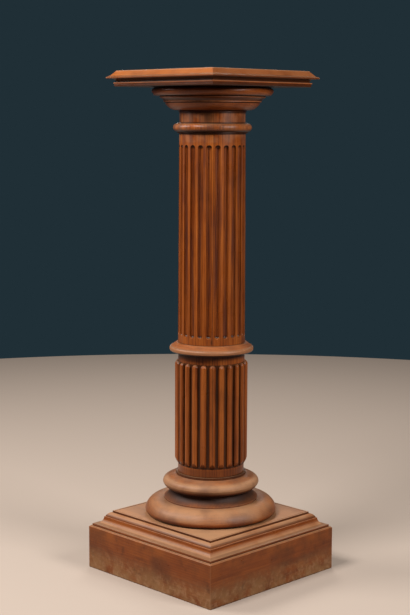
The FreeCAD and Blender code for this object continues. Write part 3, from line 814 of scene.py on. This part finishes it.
def soft_lamp(name, place, power):
    """A square area lamp that aims at the middle of the stand."""
    lamp = bpy.data.lights.new(name, "AREA")
    lamp.shape = "SQUARE"
    lamp.size = LAMP_SIZE
    lamp.energy = power
    holder = bpy.data.objects.new(name, lamp)
    holder.location = place
    holder.rotation_euler = (LAMP_AIM - place).to_track_quat("-Z", "Y").to_euler()
    bpy.context.scene.collection.objects.link(holder)


def seen_directly(tree):
    """1 for what the camera sees, also in a gloss or through glass; 0 for light that falls on the stand."""
    ray = add_node(tree, "ShaderNodeLightPath").outputs
    seen = ray["Is Camera Ray"]
    for kind in ("Is Glossy Ray", "Is Transmission Ray"):
        seen = add_node(tree, "ShaderNodeMath", {0: seen, 1: ray[kind]}, operation="MAXIMUM").outputs[0]
    return seen


class PEDESTAL_OT_stage(bpy.types.Operator):
    """Lay the floor and set the background and the soft lamps"""
    bl_idname = "pedestal.stage"
    bl_label = "Stage"
    bl_options = {"REGISTER", "UNDO"}

    def execute(self, context):
        settings = context.scene.pedestal_stage
        self.lay_floor(settings)
        self.light_background(context.scene, settings)
        for name, (turn, distance, height) in LAMP_PLACES.items():
            place = turned_about_stand(settings.azimuth + turn, distance, height)
            soft_lamp(name + " lamp", place, getattr(settings, name))
        return {"FINISHED"}

    def lay_floor(self, settings):
        # Painted screed: flat, pale, fully matt
        material = new_material("pale matt floor")
        tree = material.node_tree
        returned = add_node(tree, "ShaderNodeBsdfDiffuse", {
            "Color": opaque([settings.bounce * c for c in settings.floor])})
        shown = add_node(tree, "ShaderNodeBsdfDiffuse", {"Color": opaque(settings.floor)})
        both = add_node(tree, "ShaderNodeMixShader", {
            0: seen_directly(tree), 1: returned.outputs["BSDF"], 2: shown.outputs["BSDF"]})
        add_node(tree, "ShaderNodeOutputMaterial", {"Surface": both.outputs["Shader"]})
        mesh = bpy.data.meshes.new("floor")
        form = bmesh.new()
        bmesh.ops.create_circle(form, cap_ends=True, segments=180, radius=settings.floor_radius)
        form.to_mesh(mesh)
        form.free()
        mesh.materials.append(material)
        floor = bpy.data.objects.new("floor", mesh)
        bpy.context.scene.collection.objects.link(floor)

    def light_background(self, scene, settings):
        world = bpy.data.worlds.new("studio")
        world.use_nodes = True
        tree = world.node_tree
        tree.nodes.clear()
        light = add_node(tree, "ShaderNodeBackground", {
            "Color": opaque(AMBIENT_TINT), "Strength": settings.ambient})
        wall = add_node(tree, "ShaderNodeBackground", {"Color": opaque(settings.wall), "Strength": 1.0})
        both = add_node(tree, "ShaderNodeMixShader", {
            0: seen_directly(tree), 1: light.outputs["Background"], 2: wall.outputs["Background"]})
        add_node(tree, "ShaderNodeOutputWorld", {"Surface": both.outputs["Shader"]})
        scene.world = world


class PEDESTAL_OT_camera(bpy.types.Operator):
    """Set up the camera"""
    bl_idname = "pedestal.camera"
    bl_label = "Camera"
    bl_options = {"REGISTER", "UNDO"}

    def execute(self, context):
        settings = context.scene.pedestal_stage
        lens = bpy.data.cameras.new("camera")
        lens.sensor_fit = "VERTICAL"
        lens.sensor_height = 36.0
        lens.lens = settings.lens
        place = turned_about_stand(settings.azimuth, settings.distance, settings.height)
        turn = Matrix.Rotation(settings.azimuth + settings.heading, 4, "Z")
        turn = turn @ Matrix.Rotation(math.radians(90) - settings.tilt, 4, "X")
        turn = turn @ Matrix.Rotation(settings.roll, 4, "Z")
        camera = bpy.data.objects.new("camera", lens)
        camera.matrix_world = Matrix.Translation(place) @ turn
        context.scene.collection.objects.link(camera)
        context.scene.camera = camera
        return {"FINISHED"}


class PEDESTAL_PT_sidebar(bpy.types.Panel):
    """Lists the pieces of the stand and its settings"""
    bl_idname = "PEDESTAL_PT_sidebar"
    bl_label = "Pedestal"
    bl_space_type = "VIEW_3D"
    bl_region_type = "UI"
    bl_category = "Pedestal"

    def draw(self, context):
        for operator in PIECES:
            self.layout.operator(operator.bl_idname)
        for group in ("pedestal_walnut", "pedestal_hidden", "pedestal_stage"):
            settings = getattr(context.scene, group)
            box = self.layout.box()
            for name in settings.__annotations__:
                box.prop(settings, name)


SETTINGS = (WalnutSettings, HiddenSettings, StageSettings)
PIECES = (
    PEDESTAL_OT_plinth_boards,
    PEDESTAL_OT_plinth_mouldings,
    PEDESTAL_OT_plinth_panel,
    PEDESTAL_OT_lower_torus,
    PEDESTAL_OT_scotia,
    PEDESTAL_OT_upper_torus,
    PEDESTAL_OT_reeded_drum,
    PEDESTAL_OT_middle_ring,
    PEDESTAL_OT_fluted_shaft,
    PEDESTAL_OT_capital,
    PEDESTAL_OT_top,
    PEDESTAL_OT_hidden_wood,
    PEDESTAL_OT_screws,
    PEDESTAL_OT_stage,
    PEDESTAL_OT_camera,
)


def register():
    for kind in SETTINGS + PIECES + (PEDESTAL_PT_sidebar,):
        bpy.utils.register_class(kind)
    scene = bpy.types.Scene
    scene.pedestal_walnut = PointerProperty(type=WalnutSettings)
    scene.pedestal_hidden = PointerProperty(type=HiddenSettings)
    scene.pedestal_stage = PointerProperty(type=StageSettings)


def unregister():
    scene = bpy.types.Scene
    del scene.pedestal_walnut, scene.pedestal_hidden, scene.pedestal_stage
    for kind in reversed(SETTINGS + PIECES + (PEDESTAL_PT_sidebar,)):
        bpy.utils.unregister_class(kind)


def main():
    register()
    bpy.context.scene.view_settings.view_transform = "Standard"
    for operator in PIECES:
        group, name = operator.bl_idname.split(".")
        getattr(getattr(bpy.ops, group), name)()


if __name__ == "__main__":
    main()
